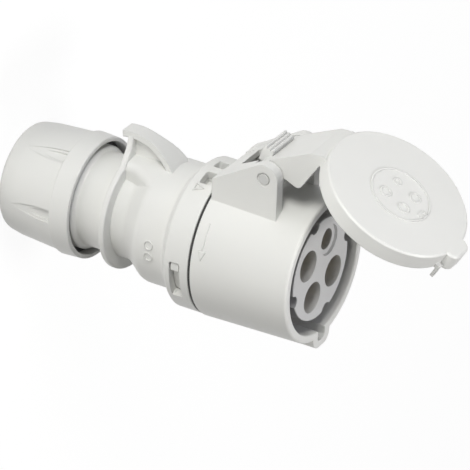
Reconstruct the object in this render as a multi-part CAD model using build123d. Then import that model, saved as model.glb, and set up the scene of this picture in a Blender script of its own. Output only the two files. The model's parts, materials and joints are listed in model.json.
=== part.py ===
from build123d import *
import os
from math import acos, cos, degrees, radians, sin, sqrt

# Industrial cable coupler, four poles, standing on the rear face of its gland nut.
# Millimetres. Z runs along the main axis from the gland to the mouth, Y points to the lid hinge.

# Lengths along the axis, from the gland upwards
NUT_LENGTH = 33.2
NECK_LENGTH = 13.2
RING_THICKNESS = 2.5
RING_ROUND = 0.7
WAIST_LENGTH = 5.6
RISE_LENGTH = 8.2
BODY_LENGTH = 12.5
COLLAR_FILLET = 3.0
COLLAR_LENGTH = 10.6
SEAL_GAP = 1.0
SEAT_WALL = 3.4

# Radii and walls of the two housings
SHELL_BORE = 25.4
RIM_WALL = 3.1
RIM_ROUND = 1.0
SHELL_EDGE = 0.5
MOUTH_LEAD = 0.6
ROOT_WALL = 4.1
COLLAR_INSET = 0.3
COLLAR_WALL = 3.0
COLLAR_FILLET_ROUND = 2.5
COLLAR_EDGE = 0.6
COLLAR_EDGE_RISE = 0.8
COLLAR_LIP_ROUND = 0.5
BODY_RADIUS = 24.4
BODY_WALL = 2.8
BODY_ROUND = 5.0
BORE_ROUND = 3.0
BORE_RISE = 1.5
WAIST_RADIUS = 18.6
WAIST_ROUND = 6.0
NECK_RADIUS = 18.5
NECK_BORE = 15.5
RING_RADIUS = 23.4
SHOULDER_RADIUS = 20.3
SHOULDER_LENGTH = 3.0
SHOULDER_INSET = 1.0
SHOULDER_ROUND = 0.8
SHOULDER_SLOPE = 1.4
THREAD_RADIUS = 18.7
THREAD_GAP = 1.0
CLEARANCE = 0.3

# Reach of a cut or a join past the surface it passes through
OVERLAP = 1.0

# Bayonet between the housings
SPIGOT_WALL = 2.8
SPIGOT_LENGTH = 9.6
LUGS = 2
LUG_ARC = 6.5
LUG_HEIGHT = 3.4
WINDOW_HEIGHT = 4.4
WINDOW_ROUND = 0.8
WINDOW_BELOW_TOP = 6.7
POCKET_DEPTH = 1.6
SIDE_WINDOW_DROP = 1.2
SIDE_WINDOW_START = 86.5
SIDE_WINDOW_ARC = 32.0
LUG_START_GAP = 0.6
LUG_INSET = 0.5
TOP_WINDOWS = [(-8.0, 2.0), (9.0, 22.0)]

# Key ridge and keyway, opposite the hinge
RIDGE_WIDTH = 10.6
RIDGE_RISE = 3.8
RIDGE_ROUND = 4.0
RIDGE_SPREAD = 1.2
RIDGE_ROOT = 3.0
KEYWAY_WIDTH = 5.2
KEYWAY_DEPTH = 4.3
KEYWAY_ROUND = 1.6
KEYWAY_FLOOR = 2.0

# Hinge
PIN_RISE = 11.1
PIN_BELOW_RIM = 18.3
PIN_RADIUS = 2.2
PIN_FIT = 0.05
PIN_END_GAP = 0.1
PIN_CHAMFER = 0.25
PIN_RECESS_RADIUS = 2.7
PIN_RECESS_DEPTH = 0.5
EAR_GAP = 0.3
EAR_THICKNESS = 4.3
EAR_ROUND = 5.8
EAR_REAR_STEP = 0.6
EAR_REAR_RISE = 5.0
EAR_FOOT = 20.0
DECK_THICKNESS = 2.4
DECK_BARREL_GAP = 0.6
DECK_DROP = 0.15
DECK_WINDOW_LENGTH = 8.5
DECK_WINDOW_HALF = 6.5
DECK_WINDOW_MOUTH_HALF = 9.0
DECK_WINDOW_ROUND = 0.6
DECK_WINDOW_CUT = 6.0
STEP_DEPTH = 0.35
STEP_HALF = 8.3
STEP_LENGTH = 5.0

# Lid
LID_OVERHANG = 0.4
LID_HEIGHT = 6.8
LID_EDGE = 0.7
LID_LIFT = 0.3
LID_PLATE = 2.4
LID_WALL = 2.4
LID_OPEN = 59.5
TIP_WIDTH = 12.4
TIP_REACH = 3.4
TIP_ROUND = 3.8
TIP_ROOT = 4.0
LATCH_PLACE = 7.8
LATCH_WIDTH = 2.2
LATCH_DROP = 4.0
LATCH_ROOT = 1.6
LATCH_INSET = 0.65
LATCH_OUTSET = 0.7
ARM_HALF = 11.4
ARM_SIDE_WALL = 2.0
ARM_START = (1.0, 0.4)
ARM_SHOULDER = (5.0, 3.4)
ARM_CREST = (1.8, 4.0)
ARM_CREST_ROUND = 1.2
ARM_END_INSET = 0.6
ARM_UNDER = 1.0
ARM_UNDER_STEP = (1.6, 0.6)
ARM_UNDER_START = 3.0
CHEEK_ROOT = 3.6
CHEEK_KNEE = 4.0
CHEEK_KNEE_ROUND = 2.6
CHEEK_HEEL = (3.2, 4.5)
CHEEK_INSET = 0.8
CHEEK_FRONT_INSET = 1.3
BARREL_RADIUS = 5.6
BARREL_FIT = 0.08
GRIP_LENGTH = 14.8
GRIP_WIDTH = 4.4
GRIP_THICKNESS = 2.6
GRIP_SUNK = 3.4
GRIP_RISE = 5.0
GRIP_BACK = 4.0
GRIP_LEAN = 20.0
GRIP_RIDGES = 3
GRIP_RIDGE_SHARE = 0.42
GASKET_GAP = 0.1
GASKET_WIDTH = 2.4

# Lid spring
SPRING_WIRE = 0.8
SPRING_GAP = 0.2
SPRING_ROOM = 0.4
SPRING_TURNS = 6
SPRING_PITCH = 1.1

# Contact carrier
CARRIER_RECESS = 1.6
PLUG_GAP = 5.2
CARRIER_FLANGE = 3.0
CARRIER_FIT = 0.1
CARRIER_EDGE = 0.4
WELL_FLOOR = 8.0
CONTACT_CIRCLE = 11.1
CONTACT_HOLE = 6.1
EARTH_HOLE = 4.1
EARTH_LIP = 5.5
EARTH_STEP = 1.2
NOTCH_RADIUS = 3.0
NOTCH_DEPTH = 2.3
EARTH_ANGLE = 60.0
POLES = 4
BACK_PLATE = 6.4

# Contacts
SLEEVE_LENGTH = 29.0
SLEEVE_HEADROOM = 0.9
SLEEVE_WALL = 1.1
LINE_BORE = 2.5
SLEEVE_BORE_DEPTH = 22.0
EARTH_BORE = 3.5
TERMINAL_WIDTH = 8.4
TERMINAL_LENGTH = 12.0
TERMINAL_CHAMFER = 0.8
WIRE_BORE = 2.2
WIRE_BORE_DEPTH = 9.0
TERMINAL_SCREW = 2.0
TERMINAL_SCREW_LENGTH = 5.0
TERMINAL_SCREW_RISE = 4.5
TERMINAL_SCREW_SET = 1.2
TERMINAL_SLOT_WIDTH = 0.7
SLOT_DEPTH = 1.6
SPRING_RING_WIDTH = 4.0
SPRING_RING_WALL = 0.6
SPRING_RING_DROP = 9.0
SPRING_RING_GAP = 1.2
CARRIER_SCREW_INSET = 4.6
CARRIER_SCREW = 1.5
CARRIER_SCREW_HEAD = 2.8
CARRIER_SCREW_GRIP = 8.0
CARRIER_SCREW_FIT = 0.2
CARRIER_HEAD_DEPTH = 1.8
CARRIER_SLOT_WIDTH = 0.8

# Hook on the rear housing
HOOK_TIP_HALF = 3.2
HOOK_BASE_HALF = 5.8
HOOK_WEB = 2.6
HOOK_FLANGE = 2.6
HOOK_TOP = 34.2
HOOK_TIP_SET = 3.2
HOOK_CREST = [(0.8, 0.4), (5.2, 0.0), (13.6, 1.9), (19.2, 5.0), (23.6, 9.2), (25.6, 14.0)]
HOOK_RING_DROP = 1.6
HOOK_RING_ROUND = 1.0
HOOK_ROOT_DROP = 18.0
HOOK_WEB_TIP = 0.8
HOOK_WEB_FOOT = (0.4, 7.0)
HOOK_PLAN_ROUND = 20.0
HOOK_PLAN_STEP = 2.0
FLARE_WAIST = (4.4, 28.0)
FLARE_FOOT = (10.5, 20.0)
FLARE_ROUND = 12.0
FLARE_EDGE_ANGLE = 38.0
FLARE_EDGE_INSET = 0.3
FLARE_ROOT = 5.0
SADDLE_REAR_HALF = 8.2
SADDLE_MIDDLE_HALF = 12.0
SADDLE_FRONT_HALF = 18.0
SADDLE_ROUND = 3.5
SADDLE_INSET = 0.1
SADDLE_REAR_SPREAD = 0.4
SADDLE_REAR_DROP = 1.9
SADDLE_REAR_ROUND = 8.0
SADDLE_MIDDLE_DROP = 2.6
SADDLE_MIDDLE_ROUND = 5.0
SADDLE_TAIL = 2.0

# Gland
NUT_FLANGE_LENGTH = 8.4
NUT_FLANGE_RADIUS = 24.3
NUT_FLANGE_EDGE = 0.4
NUT_RADIUS = 23.6
NUT_TAPER_RADIUS = 22.3
NUT_TAPER_HEIGHT = 7.2
NUT_TAPER_ROUND = 6.0
NUT_END_RADIUS = 21.0
NUT_END_ROUND = 3.2
NUT_MOUTH_RADIUS = 22.3
NUT_MOUTH_DEPTH = 8.0
NUT_MOUTH_ROUND = 0.6
NUT_THREAD_FLOOR = 1.0
NUT_FLOOR = 3.0
CABLE_HOLE = 11.0
FLUTES = 6
FLUTE_WIDTH = 5.4
FLUTE_LENGTH = 18.0
FLUTE_DEPTH = 1.8
FLUTE_LIP_DEPTH = 0.8
FLUTE_FLOOR_SHARE = 0.66
FLUTE_START_ANGLE = 120.0
LEAF_BELLY = (0.72, 0.55)
WASHER_THICKNESS = 1.2
WASHER_RADIUS = 17.4
WASHER_FIT = 0.4
BASKET_FLANGE = 4.0
BASKET_LENGTH = 20.0
BASKET_WALL = 2.2
BASKET_FIT = 0.2
BASKET_SLOT_ROOT = 3.0
BASKET_SLOTS = 8
BASKET_SLOT_WIDTH = 1.4
GROMMET_BORE = 6.5
GROMMET_LENGTH = 16.0
GROMMET_LIFT = 1.0
GROMMET_FIT = 0.1
GROMMET_LEAD = 1.6
GROMMET_ROUND = 0.8
SEAL_WIDTH = 1.6
NECK_SEAL_LENGTH = 2.6
SEAL_FIT = 0.1

# Wedge that cuts a sector out of a ring
SECTOR_REACH = 1.6
SECTOR_STEPS = 4

# Heights that follow
ring_z = NUT_LENGTH + NECK_LENGTH
waist_z = ring_z + RING_THICKNESS
rise_z = waist_z + WAIST_LENGTH
body_z = rise_z + RISE_LENGTH
fillet_z = body_z + BODY_LENGTH
collar_z = fillet_z + COLLAR_FILLET
collar_top = collar_z + COLLAR_LENGTH
shell_z = collar_top + SEAL_GAP
seat_z = shell_z + SEAT_WALL
rim_z = seat_z + SLEEVE_LENGTH + SLEEVE_HEADROOM + EARTH_LIP + CARRIER_RECESS
pin_z = rim_z - PIN_BELOW_RIM
shoulder_z = NUT_LENGTH - SHOULDER_INSET - SHOULDER_LENGTH
thread_z = NUT_FLOOR + WASHER_THICKNESS + BASKET_FLANGE + THREAD_GAP
window_z = collar_top - WINDOW_BELOW_TOP
side_window_z = window_z - SIDE_WINDOW_DROP

# Radii that follow
rim_radius = SHELL_BORE + RIM_WALL
shell_root_radius = SHELL_BORE + ROOT_WALL
collar_radius = shell_root_radius - COLLAR_INSET
collar_bore = collar_radius - COLLAR_WALL
spigot_radius = collar_bore - CLEARANCE
spigot_bore = spigot_radius - SPIGOT_WALL
keyway_radius = SHELL_BORE + KEYWAY_DEPTH
ridge_radius = rim_radius + RIDGE_RISE
carrier_radius = SHELL_BORE - PLUG_GAP
carrier_screw_circle = carrier_radius - CARRIER_SCREW_INSET
pin_y = rim_radius + PIN_RISE
ear_rear_y = rim_radius + EAR_REAR_RISE
lid_radius = rim_radius + LID_OVERHANG
gasket_radius = lid_radius - LID_WALL - GASKET_GAP

# Lid and hinge values that follow
lid_z = rim_z + LID_LIFT
lid_top = lid_z + LID_HEIGHT
ear_inner = ARM_HALF + EAR_GAP
ear_outer = ear_inner + EAR_THICKNESS
spring_radius = PIN_RADIUS + SPRING_GAP + SPRING_WIRE / 2
spring_length = SPRING_TURNS * SPRING_PITCH


def profile(points):
    """Flat outline; a third value on a point rounds that corner."""
    corners = [point[:2] for point in points]
    face = make_face(Polyline(*corners, close=True))
    for point in points:
        if len(point) == 3:
            corner = face.vertices().sort_by_distance((point[0], point[1], 0))[0]
            face = fillet(corner, point[2])
    return face


def turned(points):
    """Solid of revolution about the main axis from (radius, z) points."""
    return revolve(Plane.XZ * profile(points), Axis.Z)


def tube(outer, inner, low, high):
    """Plain ring between two heights."""
    return turned([(inner, low), (outer, low), (outer, high), (inner, high)])


def rod(radius, low, high, x=0.0, y=0.0):
    """Upright cylinder between two heights."""
    return Pos(x, y, low) * Cylinder(radius, high - low, align=(Align.CENTER, Align.CENTER, Align.MIN))


def side_plane(x=0.0):
    """Plane seen from the side: its own x is up along Z and its own y is down along -Y."""
    return Plane(origin=(x, 0, 0), x_dir=(0, 0, 1), z_dir=(1, 0, 0))


def side_plate(points, x_low, x_high):
    """Plate across the main axis: (z, y) outline, extruded along X."""
    outline = [(point[0], -point[1], *point[2:]) for point in points]
    return extrude(side_plane(x_low) * profile(outline), x_high - x_low)


def cross_rod(radius, x_low, x_high, y, z):
    """Cylinder along X."""
    length = x_high - x_low
    return Pos((x_low + x_high) / 2, y, z) * Rot(0, 90, 0) * Cylinder(radius, length)


def polar(radius, angle):
    """Point on a circle, with the angle in degrees from +X."""
    return radius * cos(radians(angle)), radius * sin(radians(angle))


def sector(outer, inner, low, high, start, end):
    """Part of a ring; the angles run from the hinge side towards -X."""
    reach = outer * SECTOR_REACH
    steps = SECTOR_STEPS
    angles = [90 + start + (end - start) * step / steps for step in range(steps + 1)]
    wedge = make_face(Polyline((0, 0), *[polar(reach, angle) for angle in angles], close=True))
    return tube(outer, inner, low, high) & (Pos(0, 0, low) * extrude(wedge, high - low))


def contact_angles():
    """Directions of the four contacts, earth first."""
    return [EARTH_ANGLE + 360 / POLES * index for index in range(POLES)]


def rear_housing():
    """Rear body: threaded spigot, neck, grip ring with hook, waist, body and bayonet collar."""
    body_bore = BODY_RADIUS - BODY_WALL
    shoulder_end = shoulder_z + SHOULDER_LENGTH
    outer = turned([
        (0, thread_z), (THREAD_RADIUS, thread_z), (THREAD_RADIUS, shoulder_z),
        (SHOULDER_RADIUS, shoulder_z), (SHOULDER_RADIUS, shoulder_end, SHOULDER_ROUND),
        (NECK_RADIUS, shoulder_end + SHOULDER_SLOPE, SHOULDER_ROUND), (NECK_RADIUS, ring_z + OVERLAP),
        (WAIST_RADIUS, ring_z + OVERLAP), (WAIST_RADIUS, rise_z, WAIST_ROUND),
        (BODY_RADIUS, body_z, BODY_ROUND), (BODY_RADIUS, fillet_z, COLLAR_FILLET_ROUND),
        (collar_radius - COLLAR_EDGE, collar_z, COLLAR_EDGE), (collar_radius, collar_z + COLLAR_EDGE_RISE), (collar_radius, collar_top, COLLAR_LIP_ROUND),
        (0, collar_top)])
    inner = turned([
        (0, thread_z - OVERLAP), (NECK_BORE, thread_z - OVERLAP), (NECK_BORE, rise_z + OVERLAP, BORE_ROUND),
        (body_bore, body_z + BORE_RISE, BORE_ROUND), (body_bore, collar_z + COLLAR_EDGE),
        (collar_bore, collar_z + COLLAR_EDGE), (collar_bore, collar_top + OVERLAP),
        (0, collar_top + OVERLAP)])
    body = outer + grip_ring() + saddle() + hook()
    body = body - inner
    for start, end in TOP_WINDOWS:
        body -= collar_window(window_z, start, end)
    for start in side_window_starts():
        body -= collar_window(side_window_z, start, start + SIDE_WINDOW_ARC)
    return body


def side_window_starts():
    """Start angles of the two bayonet windows, one on each side."""
    return [SIDE_WINDOW_START + 360 / LUGS * index for index in range(LUGS)]


def collar_window(low, start, end):
    """Opening with rounded corners through the collar wall, between two angles."""
    outer, inner = collar_radius + OVERLAP, collar_bore - CLEARANCE / 2
    opening = sector(outer, inner, low, low + WINDOW_HEIGHT, start, end)
    corners = [edge for edge in opening.edges().filter_by(GeomType.LINE) if abs((edge % 0).Z) < 0.5]
    return fillet(corners, WINDOW_ROUND)


def grip_ring():
    """Thin ring round the neck that sweeps up into the back of the hook."""
    waist_x, waist_y = FLARE_WAIST
    foot_x, foot_y = FLARE_FOOT
    edge_x, edge_y = polar(RING_RADIUS - FLARE_EDGE_INSET, FLARE_EDGE_ANGLE)
    tip_y = HOOK_TOP - HOOK_RING_DROP
    flare = profile([
        (-HOOK_TIP_HALF, tip_y, HOOK_RING_ROUND), (-waist_x, waist_y, FLARE_ROUND),
        (-foot_x, foot_y, FLARE_ROUND), (-edge_x, edge_y), (0, -FLARE_ROOT), (edge_x, edge_y),
        (foot_x, foot_y, FLARE_ROUND), (waist_x, waist_y, FLARE_ROUND),
        (HOOK_TIP_HALF, tip_y, HOOK_RING_ROUND)])
    plate = extrude(Circle(RING_RADIUS) + flare, RING_THICKNESS)
    plate = fillet(plate.edges().filter_by(Plane.XY), RING_ROUND)
    return Pos(0, 0, ring_z) * plate


def hook_outline():
    """Side outline of the hook as (z, y) points, from the tip over the top to the body."""
    tip_z = ring_z - HOOK_TIP_SET
    return [(tip_z + run, HOOK_TOP - drop) for run, drop in HOOK_CREST]


def inset(points, distance):
    """Open outline moved sideways, to the right of its direction of travel."""
    moved = []
    for index, (z, y) in enumerate(points):
        before = points[max(index - 1, 0)]
        after = points[min(index + 1, len(points) - 1)]
        run, rise = after[0] - before[0], after[1] - before[1]
        length = sqrt(run * run + rise * rise)
        moved.append((z + rise / length * distance, y - run / length * distance))
    return moved


def hook():
    """Curved hook: a thin web between the grip ring and a wider top flange."""
    top = hook_outline()
    under = inset(top, HOOK_FLANGE)
    crest = Spline(*[(z, -y) for z, y in top])
    belly = Spline(*[(z, -y) for z, y in reversed(under)])
    strip_side = make_face(Curve() + crest + Line(crest @ 1, belly @ 0) + belly + Line(belly @ 1, crest @ 0))
    root_y = HOOK_TOP - HOOK_ROOT_DROP
    middle = inset(top, HOOK_FLANGE / 2)
    web_tip = (middle[0][0] + HOOK_WEB_TIP, middle[0][1])
    foot_z, foot_drop = HOOK_WEB_FOOT
    web = side_plate([web_tip, *middle[1:], (middle[-1][0], root_y), (ring_z + OVERLAP, root_y),
                      (ring_z + foot_z, HOOK_TOP - foot_drop)], -HOOK_WEB / 2, HOOK_WEB / 2)
    strip = extrude(side_plane() * strip_side, HOOK_BASE_HALF, both=True)
    rear_z, bend_z, front_z = top[0][0] - OVERLAP, top[2][0], top[-1][0]
    plan = profile([
        (-HOOK_TIP_HALF, rear_z), (HOOK_TIP_HALF, rear_z), (HOOK_TIP_HALF, bend_z, HOOK_PLAN_ROUND),
        (HOOK_BASE_HALF, front_z - HOOK_PLAN_STEP), (HOOK_BASE_HALF, front_z + OVERLAP),
        (-HOOK_BASE_HALF, front_z + OVERLAP), (-HOOK_BASE_HALF, front_z - HOOK_PLAN_STEP),
        (-HOOK_TIP_HALF, bend_z, HOOK_PLAN_ROUND)])
    strip &= extrude(Plane.XZ * plan, -HOOK_TOP - OVERLAP)
    return web + strip


def saddle():
    """Raised part of the body under the hook, between the two finger recesses."""
    radius = BODY_RADIUS - SADDLE_INSET
    low = waist_z - OVERLAP
    tail = body_z + SADDLE_TAIL
    side = [(SADDLE_REAR_HALF, low),
            (SADDLE_REAR_HALF + SADDLE_REAR_SPREAD, rise_z - SADDLE_REAR_DROP, SADDLE_REAR_ROUND),
            (SADDLE_MIDDLE_HALF, body_z - SADDLE_MIDDLE_DROP, SADDLE_MIDDLE_ROUND),
            (SADDLE_FRONT_HALF, tail), (SADDLE_FRONT_HALF, tail + OVERLAP)]
    other = [(-point[0], *point[1:]) for point in reversed(side)]
    block = extrude(Plane.XZ * profile(side + other), -2 * radius)
    block &= rod(radius, low, tail + OVERLAP)
    middles = [(edge, edge.center()) for edge in block.edges()]
    ridge = [edge for edge, middle in middles if middle.Y > radius / 2 and waist_z < middle.Z < tail]
    return fillet(ridge, SADDLE_ROUND)


def front_housing():
    """Front body: shroud, spigot with lugs, key ridge, hinge ears and the deck between them."""
    shell = turned([
        (0, shell_z - SPIGOT_LENGTH), (spigot_radius, shell_z - SPIGOT_LENGTH), (spigot_radius, shell_z),
        (shell_root_radius, shell_z, SHELL_EDGE), (rim_radius, rim_z, RIM_ROUND), (0, rim_z)])
    shell += key_ridge()
    shell += hinge_block()
    shell -= turned([
        (0, seat_z), (SHELL_BORE, seat_z), (SHELL_BORE, rim_z - MOUTH_LEAD),
        (SHELL_BORE + MOUTH_LEAD, rim_z + OVERLAP), (0, rim_z + OVERLAP)])
    shell -= rod(spigot_bore, shell_z - SPIGOT_LENGTH - OVERLAP, seat_z + OVERLAP)
    shell -= keyway()
    for start, end in TOP_WINDOWS:
        shell -= sector(spigot_radius + OVERLAP, spigot_radius - POCKET_DEPTH, window_z,
                        window_z + WINDOW_HEIGHT, start, end)
    lug_low = side_window_z + (WINDOW_HEIGHT - LUG_HEIGHT) / 2
    for start in side_window_starts():
        lug_start = start + LUG_START_GAP
        shell += sector(collar_radius - LUG_INSET, spigot_radius - OVERLAP, lug_low, lug_low + LUG_HEIGHT,
                        lug_start, lug_start + LUG_ARC)
    return shell


def keyway():
    """Slot with rounded corners inside the shroud, for the plug's key rib."""
    half = KEYWAY_WIDTH / 2
    low = seat_z + CARRIER_FLANGE + KEYWAY_FLOOR
    root = -SHELL_BORE + 2 * OVERLAP
    cross = profile([(-half, root), (-half, -keyway_radius, KEYWAY_ROUND),
                     (half, -keyway_radius, KEYWAY_ROUND), (half, root)])
    return Pos(0, 0, low) * extrude(cross, rim_z + OVERLAP - low)


def key_ridge():
    """Ridge along the underside of the shroud, over the keyway."""
    half = RIDGE_WIDTH / 2
    root = -rim_radius + RIDGE_ROOT
    cross = profile([(-half - RIDGE_SPREAD, root), (-half, -ridge_radius, RIDGE_ROUND),
                     (half, -ridge_radius, RIDGE_ROUND), (half + RIDGE_SPREAD, root)])
    return Pos(0, 0, shell_z) * extrude(cross, rim_z - shell_z)


def ear_profile():
    """Ear outline as (z, y) points, up to the round end about the pin."""
    rear_z = shell_z + EAR_REAR_STEP
    run = pin_z - rear_z
    rise = pin_y - ear_rear_y
    reach = sqrt(run * run + rise * rise)
    slope = degrees(acos(EAR_ROUND / reach))
    lean = degrees(acos(run / reach))
    touch = radians(180 + lean - slope)
    tangent = (pin_z + EAR_ROUND * cos(touch), pin_y + EAR_ROUND * sin(touch))
    return rear_z, tangent


def hinge_block():
    """Two ears, the sloping deck with its window, and the rear wall below the deck."""
    rear_z, tangent = ear_profile()
    front_z = pin_z + EAR_ROUND
    ear = [(rear_z, EAR_FOOT), (rear_z, ear_rear_y), tangent, (pin_z, pin_y), (front_z, pin_y),
           (front_z, EAR_FOOT)]
    block = None
    for side in (1, -1):
        low, high = sorted((side * ear_inner, side * ear_outer))
        plate = side_plate(ear, low, high) + cross_rod(EAR_ROUND, low, high, pin_y, pin_z)
        block = plate if block is None else block + plate
    slope = (tangent[1] - ear_rear_y) / (tangent[0] - rear_z)
    deck_end = pin_z - BARREL_RADIUS - DECK_BARREL_GAP
    wall_end = rear_z + DECK_THICKNESS

    def deck_height(z):
        return ear_rear_y - DECK_DROP + slope * (z - rear_z)

    deck_half = ear_inner + OVERLAP / 2
    deck = side_plate([
        (rear_z, EAR_FOOT), (rear_z, deck_height(rear_z)), (deck_end, deck_height(deck_end)),
        (deck_end, deck_height(deck_end) - DECK_THICKNESS),
        (wall_end, deck_height(wall_end) - DECK_THICKNESS), (wall_end, EAR_FOOT)], -deck_half, deck_half)
    window_rear = deck_end - DECK_WINDOW_LENGTH
    window = profile([
        (-DECK_WINDOW_HALF, window_rear, DECK_WINDOW_ROUND),
        (DECK_WINDOW_HALF, window_rear, DECK_WINDOW_ROUND),
        (DECK_WINDOW_MOUTH_HALF, deck_end + OVERLAP), (-DECK_WINDOW_MOUTH_HALF, deck_end + OVERLAP)])
    deck -= Pos(0, ear_rear_y - DECK_WINDOW_CUT, 0) * extrude(Plane.XZ * window, -4 * DECK_WINDOW_CUT)
    step_rear, step_end = rear_z - OVERLAP, rear_z + STEP_LENGTH
    deck -= side_plate([
        (step_rear, deck_height(step_rear) - STEP_DEPTH),
        (step_rear, deck_height(step_rear) + DECK_THICKNESS),
        (step_end, deck_height(step_end) + DECK_THICKNESS), (step_end, deck_height(step_end) - STEP_DEPTH)],
        -STEP_HALF, STEP_HALF)
    block += deck
    for side in (1, -1):
        hole_low, hole_high = sorted((side * (ear_inner - OVERLAP), side * (ear_outer + OVERLAP)))
        block -= cross_rod(PIN_RADIUS + PIN_FIT / 2, hole_low, hole_high, pin_y, pin_z)
        low, high = sorted((side * (ear_outer - PIN_RECESS_DEPTH), side * (ear_outer + OVERLAP)))
        block -= cross_rod(PIN_RECESS_RADIUS, low, high, pin_y, pin_z)
    return block


def opened(shape):
    """Swings a piece drawn with the lid closed to the open place shown."""
    return Pos(0, pin_y, pin_z) * Rot(-LID_OPEN, 0, 0) * Pos(0, -pin_y, -pin_z) * shape


def lid():
    """Lid with skirt, tip, two latch fingers and the arm to the hinge, drawn closed and swung open."""
    disc = rod(lid_radius, lid_z, lid_top)
    half = TIP_WIDTH / 2
    tip = profile([(-half, -lid_radius + TIP_ROOT), (-half, -lid_radius - TIP_REACH, TIP_ROUND),
                   (half, -lid_radius - TIP_REACH, TIP_ROUND), (half, -lid_radius + TIP_ROOT)])
    disc += Pos(0, 0, lid_z) * extrude(tip, LID_HEIGHT)
    disc = chamfer(disc.faces().sort_by(Axis.Z)[-1].edges(), LID_EDGE)
    disc -= rod(lid_radius - LID_WALL, lid_z - OVERLAP, lid_top - LID_PLATE)
    latch_inner, latch_outer = lid_radius - LATCH_INSET, lid_radius + LATCH_OUTSET
    latch_low, latch_root = lid_z - LATCH_DROP, -lid_radius + 2 * OVERLAP
    for side in (1, -1):
        low, high = sorted((side * (LATCH_PLACE - LATCH_WIDTH / 2), side * (LATCH_PLACE + LATCH_WIDTH / 2)))
        disc += side_plate([
            (latch_low, -latch_outer), (lid_z + LATCH_ROOT, -latch_outer), (lid_z + LATCH_ROOT, latch_root),
            (lid_z, latch_root), (lid_z, -latch_inner), (latch_low, -latch_inner)], low, high)
    shape = disc + lid_arm()
    hole_half = ARM_HALF + OVERLAP
    pin_hole = cross_rod(PIN_RADIUS + BARREL_FIT, -hole_half, hole_half, pin_y, pin_z)
    room_half = spring_length / 2 + SPRING_WIRE + SPRING_ROOM
    room_radius = spring_radius + SPRING_WIRE / 2 + SPRING_ROOM
    spring_room = cross_rod(room_radius, -room_half, room_half, pin_y, pin_z)
    slot_rear = pin_z - BARREL_RADIUS - OVERLAP
    slot_front = pin_z + BARREL_RADIUS
    spring_slot = Pos(0, pin_y, slot_rear) * Box(
        2 * room_half, 2 * BARREL_RADIUS, slot_front - slot_rear, align=(Align.CENTER, Align.MAX, Align.MIN))
    return opened(shape - spring_slot) + thumb_grip() - pin_hole - spring_room


def lid_arm():
    """Arm between the lid and the hinge barrel: a sloping web with two side cheeks."""
    start = (pin_z - ARM_START[0], pin_y + BARREL_RADIUS - ARM_START[1])
    shoulder = (pin_z + ARM_SHOULDER[0], pin_y + ARM_SHOULDER[1])
    crest = (rim_z + ARM_CREST[0], rim_radius + ARM_CREST[1], ARM_CREST_ROUND)
    end = (lid_top - LID_PLATE, lid_radius - ARM_END_INSET)
    under_y = rim_radius + ARM_UNDER
    web = side_plate([
        start, shoulder, crest, end, (lid_top - LID_PLATE, lid_radius - LID_WALL),
        (lid_z, lid_radius - LID_WALL), (lid_z, under_y),
        (rim_z - ARM_UNDER_STEP[0], under_y + ARM_UNDER_STEP[1]), (pin_z + ARM_UNDER_START, pin_y)],
        -ARM_HALF, ARM_HALF)
    cheek = [
        start, shoulder, crest, end, (lid_top - LID_PLATE, lid_radius - CHEEK_ROOT),
        (lid_z, lid_radius - CHEEK_ROOT), (lid_z, rim_radius - CHEEK_FRONT_INSET),
        (pin_z + CHEEK_KNEE, rim_radius - CHEEK_INSET, CHEEK_KNEE_ROUND),
        (pin_z + CHEEK_HEEL[0], pin_y - CHEEK_HEEL[1]), (pin_z, pin_y)]
    arm = web + cross_rod(BARREL_RADIUS, -ARM_HALF, ARM_HALF, pin_y, pin_z)
    for side in (1, -1):
        low, high = sorted((side * (ARM_HALF - ARM_SIDE_WALL), side * ARM_HALF))
        arm += side_plate(cheek, low, high)
    return arm


def thumb_grip():
    """Ridged thumb bar on the open side of the hinge barrel."""
    pitch = GRIP_WIDTH / GRIP_RIDGES
    bar = Pos(0, 0, -GRIP_SUNK) * Box(
        GRIP_LENGTH, GRIP_WIDTH, GRIP_THICKNESS + GRIP_SUNK, align=(Align.CENTER, Align.CENTER, Align.MIN))
    ridge = Rot(0, 90, 0) * Cylinder(pitch * GRIP_RIDGE_SHARE, GRIP_LENGTH)
    for index in range(GRIP_RIDGES):
        place = (index - (GRIP_RIDGES - 1) / 2) * pitch
        bar += Pos(0, place, GRIP_THICKNESS) * ridge
    return Pos(0, pin_y + GRIP_RISE, pin_z - GRIP_BACK) * Rot(-90 + GRIP_LEAN, 0, 0) * bar


def lid_gasket():
    """Sealing ring under the lid plate."""
    return opened(tube(gasket_radius, gasket_radius - GASKET_WIDTH, lid_z, lid_top - LID_PLATE))


def shroud_radius(z):
    """Outer radius of the slightly tapering shroud at a height."""
    return shell_root_radius + (rim_radius - shell_root_radius) * (z - shell_z) / (rim_z - shell_z)


def hinge_pin():
    """Plastic pin through both ears and the barrel."""
    half = ear_outer - PIN_END_GAP
    pin = cross_rod(PIN_RADIUS, -half, half, pin_y, pin_z)
    return chamfer(pin.edges(), PIN_CHAMFER)


def lid_spring():
    """Torsion spring round the pin: a coil with its fixed leg standing on the shroud."""
    coil = Helix(SPRING_PITCH, spring_length, spring_radius)
    leg_length = pin_y - shroud_radius(pin_z + spring_radius) - CLEARANCE / 3
    leg = Line(coil @ 0 - (coil % 0) * leg_length, coil @ 0)
    section = Plane(origin=leg @ 0, z_dir=leg % 0) * Circle(SPRING_WIRE / 2)
    wire = sweep(section, path=Wire([leg.edge(), coil.edge()]))
    return Pos(spring_length / 2, pin_y, pin_z) * Rot(0, -90, 0) * wire


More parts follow.
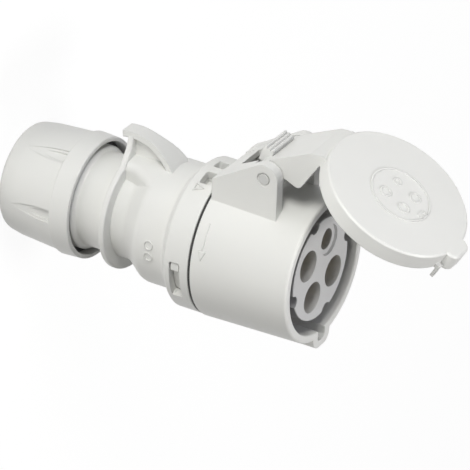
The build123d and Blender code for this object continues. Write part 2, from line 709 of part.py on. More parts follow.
def contact_carrier():
    """Insulating insert with four contact wells and four keying notches."""
    face_z = rim_z - CARRIER_RECESS
    flange_top = seat_z + CARRIER_FLANGE
    body = turned([
        (0, seat_z), (SHELL_BORE - CARRIER_FIT, seat_z), (SHELL_BORE - CARRIER_FIT, flange_top),
        (carrier_radius, flange_top), (carrier_radius, face_z, CARRIER_EDGE), (0, face_z)])
    well_floor = seat_z + WELL_FLOOR
    for index, angle in enumerate(contact_angles()):
        x, y = polar(CONTACT_CIRCLE, angle)
        bore = EARTH_BORE if index == 0 else LINE_BORE
        body -= rod(bore + SLEEVE_WALL + CARRIER_FIT, seat_z - OVERLAP, well_floor + OVERLAP, x, y)
        if index == 0:
            body -= rod(EARTH_HOLE, well_floor, face_z + OVERLAP, x, y)
            body -= rod(CONTACT_HOLE, face_z - EARTH_STEP, face_z + OVERLAP, x, y)
            body -= rod(CONTACT_HOLE, well_floor, face_z - EARTH_LIP, x, y)
        else:
            body -= rod(CONTACT_HOLE, well_floor, face_z + OVERLAP, x, y)
        notch_x, notch_y = polar(carrier_radius + NOTCH_RADIUS - NOTCH_DEPTH, angle + 180 / POLES)
        body -= rod(NOTCH_RADIUS, flange_top, face_z + OVERLAP, notch_x, notch_y)
    for angle in screw_angles():
        x, y = polar(carrier_screw_circle, angle)
        body -= rod(CARRIER_SCREW, seat_z - OVERLAP, seat_z + CARRIER_SCREW_GRIP, x, y)
    return body


def screw_angles():
    """Directions of the two carrier screws, between the contacts."""
    first = EARTH_ANGLE + 180 / POLES
    return [first, first + 180]


def carrier_back():
    """Back plate that traps the contacts in the carrier."""
    radius = spigot_bore - CLEARANCE
    low = seat_z - BACK_PLATE
    plate = rod(radius, low, seat_z)
    for index, angle in enumerate(contact_angles()):
        x, y = polar(CONTACT_CIRCLE, angle)
        bore = EARTH_BORE if index == 0 else LINE_BORE
        plate -= rod(bore + SLEEVE_WALL + CARRIER_FIT, low - OVERLAP, seat_z + OVERLAP, x, y)
    for angle in screw_angles():
        x, y = polar(carrier_screw_circle, angle)
        plate -= rod(CARRIER_SCREW + CARRIER_SCREW_FIT, low - OVERLAP, seat_z + OVERLAP, x, y)
        head_radius = CARRIER_SCREW_HEAD + CARRIER_SCREW_FIT
        plate -= rod(head_radius, low - OVERLAP, low + CARRIER_HEAD_DEPTH, x, y)
    return plate


def contact(bore):
    """Contact at the origin of its own axis: sleeve above, terminal block below the back plate."""
    block_top = seat_z - BACK_PLATE
    block_low = block_top - TERMINAL_LENGTH
    sleeve_top = seat_z + SLEEVE_LENGTH
    sleeve = rod(bore + SLEEVE_WALL, block_top - OVERLAP, sleeve_top)
    block = Pos(0, 0, block_low) * Box(
        TERMINAL_WIDTH, TERMINAL_WIDTH, TERMINAL_LENGTH, align=(Align.CENTER, Align.CENTER, Align.MIN))
    block = chamfer(block.edges().filter_by(Axis.Z), TERMINAL_CHAMFER)
    body = sleeve + block
    body -= rod(bore, sleeve_top - SLEEVE_BORE_DEPTH, sleeve_top + OVERLAP)
    body -= rod(WIRE_BORE, block_low - OVERLAP, block_low + WIRE_BORE_DEPTH)
    screw_z = block_low + TERMINAL_SCREW_RISE
    body -= Pos(TERMINAL_WIDTH / 2, 0, screw_z) * Rot(0, 90, 0) * Cylinder(TERMINAL_SCREW, TERMINAL_WIDTH)
    return body


def terminal_screw():
    """Slotted clamping screw, lying across its terminal block."""
    screw_z = seat_z - BACK_PLATE - TERMINAL_LENGTH + TERMINAL_SCREW_RISE
    screw = Rot(0, 90, 0) * Cylinder(TERMINAL_SCREW, TERMINAL_SCREW_LENGTH)
    slot = Pos(TERMINAL_SCREW_LENGTH / 2, 0, 0) * Box(
        SLOT_DEPTH, 2 * TERMINAL_SCREW + OVERLAP, TERMINAL_SLOT_WIDTH)
    return Pos(WIRE_BORE + TERMINAL_SCREW_LENGTH / 2 - TERMINAL_SCREW_SET, 0, screw_z) * (screw - slot)


def spring_ring(bore):
    """Split spring ring that presses the sleeve onto the plug pin."""
    inner = bore + SLEEVE_WALL
    low = seat_z + SLEEVE_LENGTH - SPRING_RING_DROP
    ring = tube(inner + SPRING_RING_WALL, inner, low, low + SPRING_RING_WIDTH)
    gap = Pos(inner, 0, low) * Box(4 * OVERLAP, SPRING_RING_GAP, 2 * (SPRING_RING_WIDTH + OVERLAP))
    return ring - gap


def placed(shape, angle):
    """Moves a contact piece out to its place on the contact circle."""
    return Rot(0, 0, angle) * Pos(CONTACT_CIRCLE, 0, 0) * shape


def carrier_screw(angle):
    """Countersunk screw that clamps the back plate to the carrier."""
    x, y = polar(carrier_screw_circle, angle)
    low = seat_z - BACK_PLATE
    shank = rod(CARRIER_SCREW, low + OVERLAP, seat_z + CARRIER_SCREW_GRIP - OVERLAP)
    screw = rod(CARRIER_SCREW_HEAD, low, low + CARRIER_HEAD_DEPTH) + shank
    slot = Pos(0, 0, low) * Box(2 * CARRIER_SCREW_HEAD + OVERLAP, CARRIER_SLOT_WIDTH, SLOT_DEPTH)
    return Pos(x, y, 0) * (screw - slot)


def housing_seal():
    """Dark ring in the gap between the collar and the front shell."""
    return tube(collar_radius - SEAL_FIT, spigot_radius + SEAL_FIT / 2, collar_top + SEAL_FIT, shell_z)


def neck_seal():
    """Dark ring in the mouth of the gland nut."""
    low = shoulder_z - NECK_SEAL_LENGTH
    return tube(SHOULDER_RADIUS + SEAL_WIDTH, THREAD_RADIUS + SEAL_FIT, low, shoulder_z)


def gland_nut():
    """Gland nut: flange, tapering fluted body, rounded end, threaded bore."""
    flange_z = NUT_LENGTH - NUT_FLANGE_LENGTH
    thread_bore = THREAD_RADIUS + CLEARANCE
    nut = turned([
        (CABLE_HOLE, 0), (NUT_END_RADIUS, 0, NUT_END_ROUND),
        (NUT_TAPER_RADIUS, NUT_TAPER_HEIGHT, NUT_TAPER_ROUND),
        (NUT_RADIUS, flange_z), (NUT_FLANGE_RADIUS, flange_z + NUT_FLANGE_EDGE, NUT_FLANGE_EDGE),
        (NUT_FLANGE_RADIUS - NUT_FLANGE_EDGE, NUT_LENGTH, NUT_MOUTH_ROUND), (NUT_MOUTH_RADIUS, NUT_LENGTH),
        (NUT_MOUTH_RADIUS, NUT_LENGTH - NUT_MOUTH_DEPTH), (thread_bore, NUT_LENGTH - NUT_MOUTH_DEPTH),
        (thread_bore, NUT_FLOOR + NUT_THREAD_FLOOR), (WASHER_RADIUS + WASHER_FIT, NUT_FLOOR),
        (CABLE_HOLE, NUT_FLOOR)])
    for index in range(FLUTES):
        nut -= Rot(0, 0, FLUTE_START_ANGLE + 360 / FLUTES * index) * flute(flange_z)
    return nut


def flute(flange_z):
    """Recess below the flange: a shallow leaf with a narrower, deeper one inside it."""
    wide = leaf_cut(FLUTE_WIDTH / 2, FLUTE_LENGTH, FLUTE_LIP_DEPTH, flange_z)
    share = FLUTE_FLOOR_SHARE
    deep = leaf_cut(FLUTE_WIDTH / 2 * share, FLUTE_LENGTH * share, FLUTE_DEPTH, flange_z)
    return wide + deep


def leaf_cut(half, length, depth, flange_z):
    """Leaf-shaped cutter on the nut, deepest at the flange and pointed at its lower end."""
    belly_x, belly_z = half * LEAF_BELLY[0], -length * LEAF_BELLY[1]
    taper = (NUT_RADIUS - NUT_TAPER_RADIUS) / (flange_z - NUT_TAPER_HEIGHT)
    side = ThreePointArc((half, 0), (belly_x, belly_z), (0, -length))
    other = ThreePointArc((0, -length), (-belly_x, belly_z), (-half, 0))
    leaf = make_face(Curve() + side + other + Line((-half, 0), (half, 0)))
    lean = depth / length - taper
    floor = Plane(origin=(NUT_RADIUS - depth, 0, flange_z), x_dir=(0, 1, 0), z_dir=(cos(lean), 0, sin(lean)))
    return extrude(floor * leaf, 3 * FLUTE_DEPTH)


def slip_washer():
    """Thin washer between the nut floor and the basket."""
    return tube(WASHER_RADIUS, CABLE_HOLE + WASHER_FIT, NUT_FLOOR, NUT_FLOOR + WASHER_THICKNESS)


def clamp_basket():
    """Slotted basket that squeezes the grommet."""
    low = NUT_FLOOR + WASHER_THICKNESS
    outer = NECK_BORE - BASKET_FIT
    basket = tube(WASHER_RADIUS, outer - BASKET_WALL, low, low + BASKET_FLANGE)
    basket += tube(outer, outer - BASKET_WALL, low, low + BASKET_LENGTH)
    for index in range(BASKET_SLOTS):
        slot_length = BASKET_LENGTH - BASKET_FLANGE - BASKET_SLOT_ROOT
        slot = Pos(outer, 0, low + BASKET_LENGTH) * Box(4 * BASKET_WALL, BASKET_SLOT_WIDTH, 2 * slot_length)
        basket -= Rot(0, 0, 360 / BASKET_SLOTS * index) * slot
    return basket


def cable_grommet():
    """Rubber grommet that grips the cable."""
    low = NUT_FLOOR + WASHER_THICKNESS + GROMMET_LIFT
    high = low + GROMMET_LENGTH
    outer = NECK_BORE - BASKET_FIT - BASKET_WALL - GROMMET_FIT
    return turned([
        (GROMMET_BORE + GROMMET_LEAD, low), (outer, low, GROMMET_ROUND), (outer, high, GROMMET_ROUND),
        (GROMMET_BORE, high), (GROMMET_BORE, low + GROMMET_LEAD)])


def build():
    """All pieces by name."""
    pieces = {
        "rear_housing": rear_housing(),
        "front_housing": front_housing(),
        "contact_carrier": contact_carrier(),
        "carrier_back": carrier_back(),
        "housing_seal": housing_seal(),
        "neck_seal": neck_seal(),
        "gland_nut": gland_nut(),
        "slip_washer": slip_washer(),
        "clamp_basket": clamp_basket(),
        "cable_grommet": cable_grommet(),
        "hinge_pin": hinge_pin(),
        "lid_spring": lid_spring(),
        "lid": lid(),
        "lid_gasket": lid_gasket(),
    }
    names = ["earth", "line_1", "line_2", "line_3"]
    for name, angle in zip(names, contact_angles()):
        bore = EARTH_BORE if name == "earth" else LINE_BORE
        pieces["contact_" + name] = placed(contact(bore), angle)
        pieces["contact_spring_" + name] = placed(spring_ring(bore), angle)
        pieces["terminal_screw_" + name] = placed(terminal_screw(), angle)
    for index, angle in enumerate(screw_angles()):
        pieces[f"carrier_screw_{index + 1}"] = carrier_screw(angle)
    return pieces


os.makedirs("parts", exist_ok=True)
for node, shape in build().items():
    export_step(shape, f"parts/{node}.step")
    print(node, round(shape.volume, 1))
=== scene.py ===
"""Looks of an industrial cable coupler that stands on the rear face of its gland nut.

Z runs along the coupler from the gland to the mouth, and Y points to the lid hinge.
Lengths are millimetres and angles are degrees; mm() turns lengths into the frame's metres.
"""

import json
import math

import bpy
from mathutils import Matrix, Vector


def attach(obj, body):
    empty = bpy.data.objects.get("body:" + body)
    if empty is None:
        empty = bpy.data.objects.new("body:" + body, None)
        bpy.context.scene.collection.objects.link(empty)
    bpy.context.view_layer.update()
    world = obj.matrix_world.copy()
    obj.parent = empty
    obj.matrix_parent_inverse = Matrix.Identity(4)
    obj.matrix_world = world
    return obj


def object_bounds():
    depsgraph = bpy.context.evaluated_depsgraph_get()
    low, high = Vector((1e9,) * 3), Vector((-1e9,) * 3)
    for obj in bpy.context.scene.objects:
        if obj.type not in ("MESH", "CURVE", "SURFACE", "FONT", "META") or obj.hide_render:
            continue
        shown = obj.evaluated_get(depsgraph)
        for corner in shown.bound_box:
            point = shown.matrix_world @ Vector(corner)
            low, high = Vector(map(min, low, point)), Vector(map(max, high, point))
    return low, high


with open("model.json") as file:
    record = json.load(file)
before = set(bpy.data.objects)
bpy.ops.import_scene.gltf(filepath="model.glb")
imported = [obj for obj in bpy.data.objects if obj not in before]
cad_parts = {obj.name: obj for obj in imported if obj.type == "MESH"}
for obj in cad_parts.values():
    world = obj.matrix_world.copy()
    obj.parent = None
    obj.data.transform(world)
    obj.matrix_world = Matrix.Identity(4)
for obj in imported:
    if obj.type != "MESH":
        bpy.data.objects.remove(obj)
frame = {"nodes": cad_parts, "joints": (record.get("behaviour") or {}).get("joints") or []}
cad_low, cad_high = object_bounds()
hinge_pin = Vector(next(joint["pos_m"] for joint in frame["joints"] if joint["name"] == "lid_hinge"))

MILLIMETRE = 0.001
WHITE = (1, 1, 1, 1)

# Camera of the photograph
CAMERA_PLACE = (-1237.99, 812.916, 791.971)
CAMERA_RIGHT = (0.50807, 0.03258, 0.8607)
CAMERA_UP = (0.41214, 0.86826, -0.27616)
CAMERA_LENS = 337.82
SENSOR_WIDTH = 36.0
CLIP_NEAR = 50.0
CLIP_FAR = 200000.0

# Floor and background: size, white that lights the part, share that shows the shadow and glow of the rest
FLOOR_SIZE = 60000.0
FLOOR_WHITE = 0.9
FLOOR_SHADE = 0.1
FLOOR_GLOW = 1.04
WORLD_STRENGTH = 0.06

# Lamps: direction from the object, distance, size, power in watts and tint
LAMPS = {
    "key": ((-0.45, 0.88, 0.14), 1000.0, 400.0, 5.5, (1.0, 1.0, 0.96)),
    "near": ((-0.98, -0.1, 0.14), 1000.0, 400.0, 1.7, (1.0, 0.98, 0.9)),
    "left": ((-0.88, 0.45, 0.14), 1000.0, 400.0, 0.5, (0.9, 0.95, 1.0)),
    "above": ((0.0, 0.0, 1.0), 1000.0, 180.0, 5.0, (1.0, 0.99, 0.97)),
    "top": ((-0.2, 0.6, 0.77), 1000.0, 600.0, 1.4, (0.8, 0.82, 1.0)),
}

# Range that a noise value mostly fills
NOISE_LOW = 0.3
NOISE_HIGH = 0.7

# Noises: size of one lump, detail and stretch
EVEN = (1.0, 1.0, 1.0)
PLASTIC_FLOW = (22.0, 2.0, (1.0, 1.0, 0.35))
PLASTIC_PATCHES = (6.0, 4.0, EVEN)
PLASTIC_GRAIN = (0.28, 5.0, EVEN)
RUBBER_BLOOM = (3.0, 6.0, EVEN)
RUBBER_PATCHES = (1.5, 3.0, EVEN)
RUBBER_GRAIN = (0.35, 4.0, EVEN)
METAL_STAIN = (4.0, 4.0, EVEN)
METAL_PATCHES = (2.0, 4.0, EVEN)
METAL_LINE_SIZE = 0.5
METAL_LINE_DETAIL = 2.0

# Darkest and lightest share of a material's own colour
PLASTIC_SHADES = (0.985, 1.015)
RUBBER_SHADES = (0.8, 1.4)
METAL_SHADES = (0.9, 1.06)

# Roughness: steps below and above the material's own value, and the whole range of the rubber
PLASTIC_ROUGH_STEPS = (0.03, 0.04)
METAL_ROUGH_STEPS = (0.06, 0.1)
RUBBER_ROUGHNESS = (0.55, 0.75)

# Fine relief: its depth and strength, and the radius that softens the edges
BEVEL_SAMPLES = 6
PLASTIC_RELIEF = 0.5
RUBBER_DEPTH = 0.03
RUBBER_RELIEF = 0.6
RUBBER_EDGE = 0.2
METAL_DEPTH = 0.015
METAL_RELIEF = 0.5
METAL_EDGE = 0.12

# Index of refraction
PLASTIC_IOR = 1.5
RUBBER_IOR = 1.52

# Moulded plastics: colour, roughness, radius of the soft edges and depth of the grain
PLASTICS = {
    "housing_plastic": ((0.745, 0.745, 0.725), 0.42, 0.5, 0.02),
    "insert_plastic": ((0.60, 0.60, 0.605), 0.5, 0.2, 0.012),
    "basket_plastic": ((0.10, 0.10, 0.11), 0.45, 0.2, 0.012),
    "pin_plastic": ((0.60, 0.60, 0.585), 0.38, 0.2, 0.01),
}
RUBBER_BLACK = (0.018, 0.018, 0.018)

# Metals: colour, roughness and stretch of the fine lines
METALS = {
    "contact_brass": ((0.80, 0.68, 0.42), 0.28, (1.0, 1.0, 8.0)),
    "spring_steel": ((0.62, 0.62, 0.64), 0.3, (8.0, 1.0, 1.0)),
}

# First part of a node's name, and its slot; the first that fits counts
NODE_SLOTS = (
    ("contact_carrier", "insert_plastic"),
    ("carrier_back", "insert_plastic"),
    ("carrier_screw", "spring_steel"),
    ("contact_spring", "spring_steel"),
    ("terminal_screw", "spring_steel"),
    ("contact_", "contact_brass"),
    ("lid_spring", "spring_steel"),
    ("hinge_pin", "pin_plastic"),
    ("lid_gasket", "black_rubber"),
    ("housing_seal", "black_rubber"),
    ("neck_seal", "black_rubber"),
    ("cable_grommet", "black_rubber"),
    ("slip_washer", "basket_plastic"),
    ("clamp_basket", "basket_plastic"),
    ("", "housing_plastic"),
)

# Sizes of the solids that the raised marks stand on
RIM_HEIGHT = 130.2
SEAL_HEIGHT = 89.8
COLLAR_HEIGHT = 78.2
BODY_HEIGHT = 69.0
RIM_RADIUS = 28.5
ROOT_RADIUS = 29.5
COLLAR_RADIUS = 29.2
BODY_RADIUS = 24.4
LID_TOP = 137.3
LID_OPEN = 59.5

# Raised marks: height above the surface, depth sunk into it and limit on how far a sharp corner reaches out
MARK_HEIGHT = 0.4
MARK_SUNK = 0.15
CORNER_LIMIT = 0.35
BAND_SIDES = 4

# Emblem on the lid: a ring, a circle of poles and a notch
EMBLEM_CENTRE = (0.0, -1.0)
EMBLEM_RADIUS = 12.0
EMBLEM_LINE = 0.8
EMBLEM_STEPS = 96
INNER_LINE_SHARE = 0.8
POLE_COUNT = 4
POLE_FIRST_ANGLE = 45
POLE_CIRCLE = 6.2
POLE_RADIUS = 2.1
EARTH_RADIUS = 1.4
POLE_STEPS = 48
NOTCH_HALF_WIDTH = 1.6
NOTCH_DEPTH = 2.2

# Arrow on the front shell: place, line and head
ARROW_ANGLE = 154.0
ARROW_RISE = 4.2
ARROW_TAIL = -7.0
ARROW_POINTS = 11
ARROW_LINE = 0.7
ARROW_HEAD = [(3.6, 0.0), (7.2, 0.0)]
ARROW_HEAD_WIDTHS = (3.0, 0.1)

# Triangle on the collar
TRIANGLE_ANGLE = 116.5
TRIANGLE_RISE = 5.0
TRIANGLE = [(-1.6, -1.5), (1.6, -1.5), (0.0, 1.8)]
TRIANGLE_LINE = 0.5

# Two rings on the body
RINGS_ANGLE = 180.0
RING_PLACES = (-2.4, 2.4)
RING_RADIUS = 1.7
RING_LINE = 0.45
RING_STEPS = 32


def mm(*values):
    """Millimetres to the frame's metres, as one number or a vector."""
    if len(values) == 1:
        return values[0] * MILLIMETRE
    return Vector(values) * MILLIMETRE


def empty_tree(owner):
    """Node tree of a material or a world, with no nodes in it."""
    owner.use_nodes = True
    owner.node_tree.nodes.clear()
    return owner.node_tree


def new_material(name):
    """Material with only a Principled shader and its output."""
    material = bpy.data.materials.new(name)
    tree = empty_tree(material)
    shader = tree.nodes.new("ShaderNodeBsdfPrincipled")
    output = tree.nodes.new("ShaderNodeOutputMaterial")
    tree.links.new(shader.outputs["BSDF"], output.inputs["Surface"])
    return material, tree, shader


def noise(tree, grain, detail, stretch):
    """Noise over the object's own coordinates; grain is the size of one lump in millimetres."""
    place = tree.nodes.new("ShaderNodeTexCoord")
    scale = tree.nodes.new("ShaderNodeMapping")
    scale.inputs["Scale"].default_value = stretch
    texture = tree.nodes.new("ShaderNodeTexNoise")
    texture.inputs["Scale"].default_value = 1 / mm(grain)
    texture.inputs["Detail"].default_value = detail
    tree.links.new(place.outputs["Object"], scale.inputs["Vector"])
    tree.links.new(scale.outputs["Vector"], texture.inputs["Vector"])
    return texture.outputs["Fac"]


def spread(tree, value, low, high):
    """Maps a noise value between two numbers."""
    node = tree.nodes.new("ShaderNodeMapRange")
    node.inputs["From Min"].default_value = NOISE_LOW
    node.inputs["From Max"].default_value = NOISE_HIGH
    node.inputs["To Min"].default_value = low
    node.inputs["To Max"].default_value = high
    tree.links.new(value, node.inputs["Value"])
    return node.outputs["Result"]


def tint(tree, value, colour, shades):
    """The colour, between its darkest and lightest share, by a noise value."""
    node = tree.nodes.new("ShaderNodeMix")
    node.data_type = "RGBA"
    for socket, share in zip("AB", shades):
        node.inputs[socket].default_value = (*[min(1.0, part * share) for part in colour], 1)
    tree.links.new(spread(tree, value, 0.0, 1.0), node.inputs["Factor"])
    return node.outputs["Result"]


def soft_edge(tree, radius):
    """Normal that rounds hard edges by a radius in millimetres."""
    node = tree.nodes.new("ShaderNodeBevel")
    node.samples = BEVEL_SAMPLES
    node.inputs["Radius"].default_value = mm(radius)
    return node.outputs["Normal"]


def bump(tree, height, depth, strength, normal):
    """Bump of a height value over a normal; depth is in millimetres."""
    node = tree.nodes.new("ShaderNodeBump")
    node.inputs["Strength"].default_value = strength
    node.inputs["Distance"].default_value = mm(depth)
    tree.links.new(height, node.inputs["Height"])
    tree.links.new(normal, node.inputs["Normal"])
    return node.outputs["Normal"]


def moulded_plastic(name, colour, roughness, edge, depth):
    """Satin moulded plastic: fine grain, faint flow marks and softened edges."""
    material, tree, shader = new_material(name)
    below, above = PLASTIC_ROUGH_STEPS
    flow = noise(tree, *PLASTIC_FLOW)
    tree.links.new(tint(tree, flow, colour, PLASTIC_SHADES), shader.inputs["Base Color"])
    patches = noise(tree, *PLASTIC_PATCHES)
    rough = spread(tree, patches, roughness - below, roughness + above)
    tree.links.new(rough, shader.inputs["Roughness"])
    grain = noise(tree, *PLASTIC_GRAIN)
    rounded = soft_edge(tree, edge)
    tree.links.new(bump(tree, grain, depth, PLASTIC_RELIEF, rounded), shader.inputs["Normal"])
    shader.inputs["IOR"].default_value = PLASTIC_IOR
    return material


def rubber(name, colour):
    """Matt rubber with a fine dusty bloom."""
    material, tree, shader = new_material(name)
    bloom = noise(tree, *RUBBER_BLOOM)
    tree.links.new(tint(tree, bloom, colour, RUBBER_SHADES), shader.inputs["Base Color"])
    rough = spread(tree, noise(tree, *RUBBER_PATCHES), *RUBBER_ROUGHNESS)
    tree.links.new(rough, shader.inputs["Roughness"])
    grain = noise(tree, *RUBBER_GRAIN)
    rounded = soft_edge(tree, RUBBER_EDGE)
    tree.links.new(bump(tree, grain, RUBBER_DEPTH, RUBBER_RELIEF, rounded), shader.inputs["Normal"])
    shader.inputs["IOR"].default_value = RUBBER_IOR
    return material


def metal(name, colour, roughness, stretch):
    """Turned or drawn metal with fine lines along one direction."""
    material, tree, shader = new_material(name)
    below, above = METAL_ROUGH_STEPS
    stain = noise(tree, *METAL_STAIN)
    tree.links.new(tint(tree, stain, colour, METAL_SHADES), shader.inputs["Base Color"])
    patches = noise(tree, *METAL_PATCHES)
    rough = spread(tree, patches, roughness - below, roughness + above)
    tree.links.new(rough, shader.inputs["Roughness"])
    lines = noise(tree, METAL_LINE_SIZE, METAL_LINE_DETAIL, stretch)
    rounded = soft_edge(tree, METAL_EDGE)
    tree.links.new(bump(tree, lines, METAL_DEPTH, METAL_RELIEF, rounded), shader.inputs["Normal"])
    shader.inputs["Metallic"].default_value = 1.0
    return material


def make_materials():
    """Every material, by the name of its slot."""
    made = {name: moulded_plastic(name, *values) for name, values in PLASTICS.items()}
    made["black_rubber"] = rubber("black_rubber", RUBBER_BLACK)
    for name, values in METALS.items():
        made[name] = metal(name, *values)
    return made


def dress_nodes():
    """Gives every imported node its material."""
    for name, piece in frame["nodes"].items():
        slot = next(found for start, found in NODE_SLOTS if name.startswith(start))
        piece.data.materials.clear()
        piece.data.materials.append(materials[slot])


def circle(x, y, radius, steps):
    """Points of a closed circle."""
    turns = [2 * math.pi * step / steps for step in range(steps)]
    return [(x + radius * math.cos(turn), y + radius * math.sin(turn)) for turn in turns]


def side_points(points, widths, closed):
    """Left and right edge of a band along a flat line."""
    left, right = [], []
    count = len(points)
    for index, (x, y) in enumerate(points):
        before = points[index - 1] if closed or index > 0 else points[index]
        after = points[(index + 1) % count] if closed or index < count - 1 else points[index]
        first = Vector((x - before[0], y - before[1]))
        second = Vector((after[0] - x, after[1] - y))
        first = (first if first.length > 0 else second).normalized()
        second = (second if second.length > 0 else first).normalized()
        along = (first + second).normalized()
        reach = widths[index] / 2 / max(CORNER_LIMIT, along.dot(second))
        left.append((x - along.y * reach, y + along.x * reach))
        right.append((x + along.y * reach, y - along.x * reach))
    return left, right


def band(points, widths, place, closed=True):
    """Corners and faces of a raised band; place maps a flat point and a height to the object."""
    if not isinstance(widths, tuple):
        widths = (widths,) * len(points)
    corners, faces = [], []
    for left, right in zip(*side_points(points, widths, closed)):
        corners.append(place(*left, -MARK_SUNK))
        corners.append(place(*left, MARK_HEIGHT))
        corners.append(place(*right, MARK_HEIGHT))
        corners.append(place(*right, -MARK_SUNK))
    count = len(points)
    for index in range(count if closed else count - 1):
        here = BAND_SIDES * index
        there = BAND_SIDES * ((index + 1) % count)
        for edge in range(BAND_SIDES):
            after = (edge + 1) % BAND_SIDES
            faces.append((here + edge, here + after, there + after, there + edge))
    if not closed:
        last = BAND_SIDES * (count - 1)
        faces.append((3, 2, 1, 0))
        faces.append((last, last + 1, last + 2, last + 3))
    return corners, faces


def make_mark(name, body, bands):
    """One raised mark of several bands, which rides on a body."""
    corners, faces = [], []
    for band_corners, band_faces in bands:
        start = len(corners)
        corners += band_corners
        faces += [tuple(start + corner for corner in face) for face in band_faces]
    mesh = bpy.data.meshes.new(name)
    mesh.from_pydata(corners, [], faces)
    mesh.validate()
    mesh.materials.append(materials["housing_plastic"])
    mark = bpy.data.objects.new(name, mesh)
    bpy.context.scene.collection.objects.link(mark)
    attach(mark, body)


def on_lid(x, y, height):
    """Point on the lid's outer face, drawn closed and swung open about the hinge."""
    swing = Matrix.Rotation(math.radians(-LID_OPEN), 3, "X")
    return hinge_pin + swing @ (mm(x, y, LID_TOP + height) - hinge_pin)


def on_barrel(middle_angle, middle_height, low, high):
    """Place on a round wall between two pairs of height and radius; x runs round it and y up."""
    low_height, low_radius = low
    high_height, high_radius = high

    def place(x, y, height):
        level = middle_height + y
        share = (level - low_height) / (high_height - low_height)
        radius = low_radius + (high_radius - low_radius) * share
        angle = math.radians(middle_angle) + x / radius
        reach = radius + height
        return mm(reach * math.cos(angle), reach * math.sin(angle), level)
    return place


def lid_emblem():
    """Plain picture of a four-pole socket: a ring, four small rings and a key notch."""
    x, y = EMBLEM_CENTRE
    inner_line = EMBLEM_LINE * INNER_LINE_SHARE
    bands = [band(circle(x, y, EMBLEM_RADIUS, EMBLEM_STEPS), EMBLEM_LINE, on_lid)]
    for index in range(POLE_COUNT):
        angle = math.radians(POLE_FIRST_ANGLE + 360 / POLE_COUNT * index)
        radius = EARTH_RADIUS if index == 0 else POLE_RADIUS
        pole_x = x + POLE_CIRCLE * math.cos(angle)
        pole_y = y + POLE_CIRCLE * math.sin(angle)
        bands.append(band(circle(pole_x, pole_y, radius, POLE_STEPS), inner_line, on_lid))
    left, right = x - NOTCH_HALF_WIDTH, x + NOTCH_HALF_WIDTH
    mouth = y - EMBLEM_RADIUS
    floor = mouth + NOTCH_DEPTH
    notch = [(left, mouth), (left, floor), (right, floor), (right, mouth)]
    bands.append(band(notch, inner_line, on_lid, closed=False))
    make_mark("lid_emblem", "cover", bands)


def twist_arrow():
    """Arrow on the front shell, along the way that the shell twists."""
    root, rim = (SEAL_HEIGHT, ROOT_RADIUS), (RIM_HEIGHT, RIM_RADIUS)
    place = on_barrel(ARROW_ANGLE, SEAL_HEIGHT + ARROW_RISE, root, rim)
    shaft = [(ARROW_TAIL + step, 0.0) for step in range(ARROW_POINTS)]
    bands = [band(shaft, ARROW_LINE, place, closed=False),
             band(ARROW_HEAD, ARROW_HEAD_WIDTHS, place, closed=False)]
    make_mark("twist_arrow", "front", bands)


def rear_marks():
    """Small triangle on the collar beside the ear, and two plain rings on the body."""
    low, high = (COLLAR_HEIGHT, COLLAR_RADIUS), (SEAL_HEIGHT, COLLAR_RADIUS)
    place = on_barrel(TRIANGLE_ANGLE, COLLAR_HEIGHT + TRIANGLE_RISE, low, high)
    make_mark("collar_triangle", "rear", [band(TRIANGLE, TRIANGLE_LINE, place)])
    low, high = (BODY_HEIGHT, BODY_RADIUS), (COLLAR_HEIGHT, BODY_RADIUS)
    place = on_barrel(RINGS_ANGLE, BODY_HEIGHT, low, high)
    rings = [band(circle(x, 0.0, RING_RADIUS, RING_STEPS), RING_LINE, place) for x in RING_PLACES]
    make_mark("body_rings", "rear", rings)


def seen_rays(tree):
    """One for camera, glossy and transmission rays, and zero for the rest."""
    path = tree.nodes.new("ShaderNodeLightPath")
    total = path.outputs["Is Camera Ray"]
    for kind in ("Is Glossy Ray", "Is Transmission Ray"):
        most = tree.nodes.new("ShaderNodeMath")
        most.operation = "MAXIMUM"
        tree.links.new(total, most.inputs[0])
        tree.links.new(path.outputs[kind], most.inputs[1])
        total = most.outputs["Value"]
    return total


def mixed(tree, share, first, second):
    """Mix of two shaders; share is the second one's part, as a number or a socket."""
    mix = tree.nodes.new("ShaderNodeMixShader")
    if isinstance(share, float):
        mix.inputs["Fac"].default_value = share
    else:
        tree.links.new(share, mix.inputs["Fac"])
    tree.links.new(first, mix.inputs[1])
    tree.links.new(second, mix.inputs[2])
    return mix.outputs["Shader"]


def floor_material():
    """Plain white with a faint shadow to the camera, and a pale wall to the rays that light the part."""
    material = bpy.data.materials.new("floor_white")
    tree = empty_tree(material)
    output = tree.nodes.new("ShaderNodeOutputMaterial")
    wall = tree.nodes.new("ShaderNodeBsdfDiffuse")
    wall.inputs["Color"].default_value = (FLOOR_WHITE, FLOOR_WHITE, FLOOR_WHITE, 1)
    seen_wall = tree.nodes.new("ShaderNodeBsdfDiffuse")
    seen_wall.inputs["Color"].default_value = WHITE
    glow = tree.nodes.new("ShaderNodeEmission")
    glow.inputs["Strength"].default_value = FLOOR_GLOW
    seen = mixed(tree, 1 - FLOOR_SHADE, seen_wall.outputs["BSDF"], glow.outputs["Emission"])
    chosen = mixed(tree, seen_rays(tree), wall.outputs["BSDF"], seen)
    tree.links.new(chosen, output.inputs["Surface"])
    return material


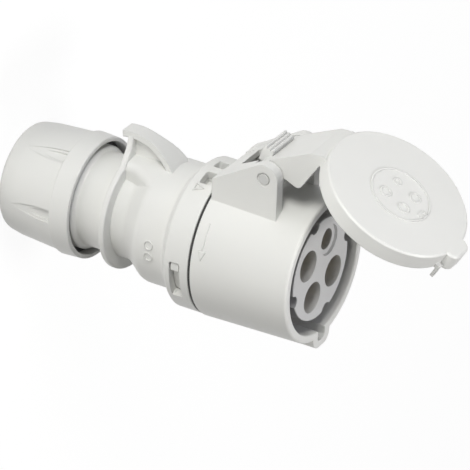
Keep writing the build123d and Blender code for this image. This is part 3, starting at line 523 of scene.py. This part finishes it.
def make_floor():
    """Large pale floor under the nut."""
    mesh = bpy.data.meshes.new("floor")
    half = mm(FLOOR_SIZE) / 2
    corners = [(-half, -half, 0), (half, -half, 0), (half, half, 0), (-half, half, 0)]
    mesh.from_pydata(corners, [], [(0, 1, 2, 3)])
    mesh.materials.append(floor_material())
    floor = bpy.data.objects.new("floor", mesh)
    bpy.context.scene.collection.objects.link(floor)


def make_world():
    """Even white surroundings: modest light, and plain white to the camera."""
    world = bpy.data.worlds.new("surroundings")
    bpy.context.scene.world = world
    tree = empty_tree(world)
    output = tree.nodes.new("ShaderNodeOutputWorld")
    shaders = []
    for strength in (WORLD_STRENGTH, 1.0):
        background = tree.nodes.new("ShaderNodeBackground")
        background.inputs["Strength"].default_value = strength
        background.inputs["Color"].default_value = WHITE
        shaders.append(background.outputs["Background"])
    tree.links.new(mixed(tree, seen_rays(tree), *shaders), output.inputs["Surface"])


def make_lamps():
    """Soft area lamps that face the middle of the object."""
    middle = (cad_low + cad_high) / 2
    for name, (direction, distance, size, power, colour) in LAMPS.items():
        lamp = bpy.data.lights.new(name, "AREA")
        lamp.shape = "DISK"
        lamp.size = mm(size)
        lamp.energy = power
        lamp.color = colour
        holder = bpy.data.objects.new(name, lamp)
        away = Vector(direction).normalized()
        holder.location = middle + away * mm(distance)
        holder.rotation_mode = "QUATERNION"
        holder.rotation_quaternion = away.to_track_quat("Z", "Y")
        bpy.context.scene.collection.objects.link(holder)


def make_camera():
    """The photograph's camera."""
    right, up = Vector(CAMERA_RIGHT), Vector(CAMERA_UP)
    back = right.cross(up)
    camera = bpy.data.cameras.new("camera")
    camera.sensor_fit = "HORIZONTAL"
    camera.sensor_width = SENSOR_WIDTH
    camera.lens = CAMERA_LENS
    camera.clip_start = mm(CLIP_NEAR)
    camera.clip_end = mm(CLIP_FAR)
    holder = bpy.data.objects.new("camera", camera)
    turn = Matrix((right, up, back)).transposed()
    holder.matrix_world = Matrix.Translation(mm(*CAMERA_PLACE)) @ turn.to_4x4()
    bpy.context.scene.collection.objects.link(holder)
    bpy.context.scene.camera = holder


materials = make_materials()
dress_nodes()
lid_emblem()
twist_arrow()
rear_marks()
make_floor()
make_world()
make_lamps()
make_camera()
bpy.context.scene.view_settings.view_transform = "Standard"
